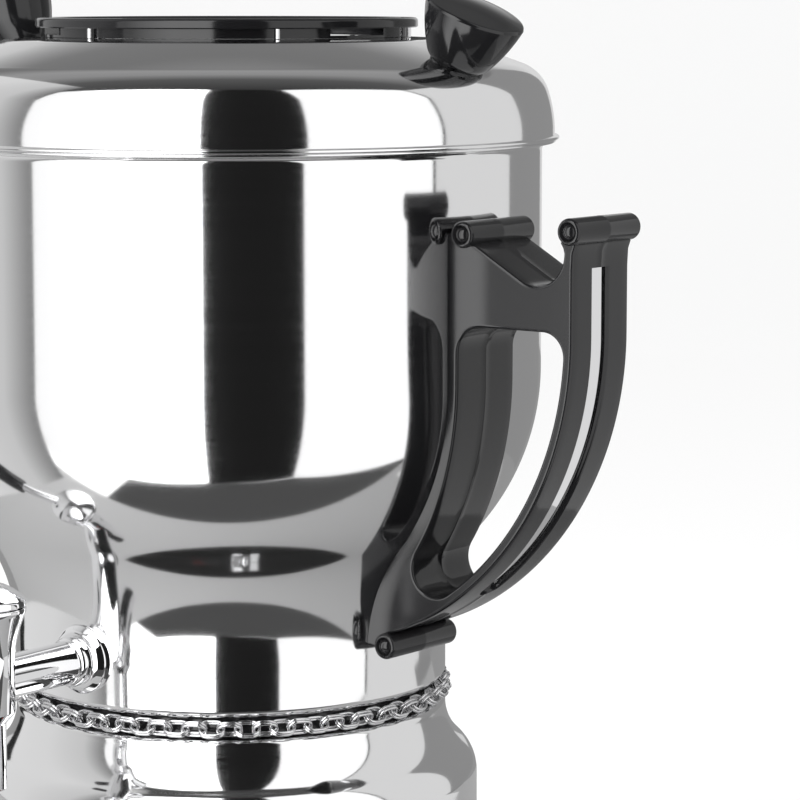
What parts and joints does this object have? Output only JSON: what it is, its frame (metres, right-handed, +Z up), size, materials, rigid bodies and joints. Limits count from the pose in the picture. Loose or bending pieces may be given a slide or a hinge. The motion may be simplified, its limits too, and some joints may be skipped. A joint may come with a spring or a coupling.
{
  "type": "electric samovar",
  "caption": "Polished electric samovar: rounded vessel on a drum base with a chain at its waist, domed lid with vent ring and flared knobs, curved black side handles and a front plug tap.",
  "frame": {"origin": "on the table, on the vessel's centre line", "axes": "+Z up, the tap points along -Y, the handles lie along +X and -X"},
  "size_m": [0.3242, 0.2515, 0.3507],
  "materials": {
    "polished_steel": "mirror polished stainless steel",
    "chrome": "chrome plated",
    "black_plastic": "glossy black",
    "inner_steel": "plain steel",
    "rubber": "soft",
    "brass": "turned",
    "alloy": "cast",
    "ceramic": "matt",
    "lamp": "clear red"
  },
  "bodies": {
    "samovar": {"vessel": "polished_steel", "waist_ring": "black_plastic", "decor_chain": "chrome", "base_shell": "polished_steel", "base_ring": "black_plastic", "base_plate": "inner_steel", "foot_ring": "rubber", "foot_screws": "inner_steel", "foot_nuts": "inner_steel", "tie_rod": "inner_steel", "tie_nut": "inner_steel", "heat_plate": "alloy", "heating_element": "inner_steel", "thermal_cutout": "alloy", "terminal_block": "ceramic", "power_inlet": "black_plastic", "inlet_pins": "chrome", "thermostat": "ceramic", "thermostat_nut": "inner_steel", "dial_plate": "black_plastic", "lamp_holder": "black_plastic", "lamp_lens": "lamp", "handle_right": "black_plastic", "handle_left": "black_plastic", "handle_inlay_right": "chrome", "handle_inlay_left": "chrome", "handle_screws": "inner_steel", "handle_seals": "rubber", "tap_escutcheon": "chrome", "tap_body": "chrome", "tap_washers": "rubber", "tap_nut": "brass", "tap_gland": "brass"},
    "lid": {"lid": "polished_steel", "lid_seat_ring": "inner_steel", "vent_ring": "black_plastic", "vent_posts": "chrome", "vent_screws": "inner_steel", "lid_knob_right": "black_plastic", "lid_knob_left": "black_plastic", "knob_screws": "inner_steel"},
    "tap_valve": {"tap_plug": "brass", "plug_seal": "rubber", "tap_lever": "chrome", "lever_grip": "black_plastic"},
    "dial": {"thermostat_shaft": "inner_steel", "thermostat_knob": "chrome"}
  },
  "joints": [
    {"name": "lid_lift", "type": "slide", "parent": "samovar", "child": "lid", "axis": [0, 0, 1], "range_m": [0, 0.12]},
    {"name": "tap_turn", "type": "hinge", "parent": "samovar", "child": "tap_valve", "pos_m": [0, -0.122, 0.1262], "axis": [0, 0, 1], "range_deg": [0, 90]},
    {"name": "dial_turn", "type": "hinge", "parent": "samovar", "child": "dial", "pos_m": [0.06651, -0.05989, 0.047], "axis": [0.7431, -0.6691, 0], "range_deg": [0, 270]}
  ]
}
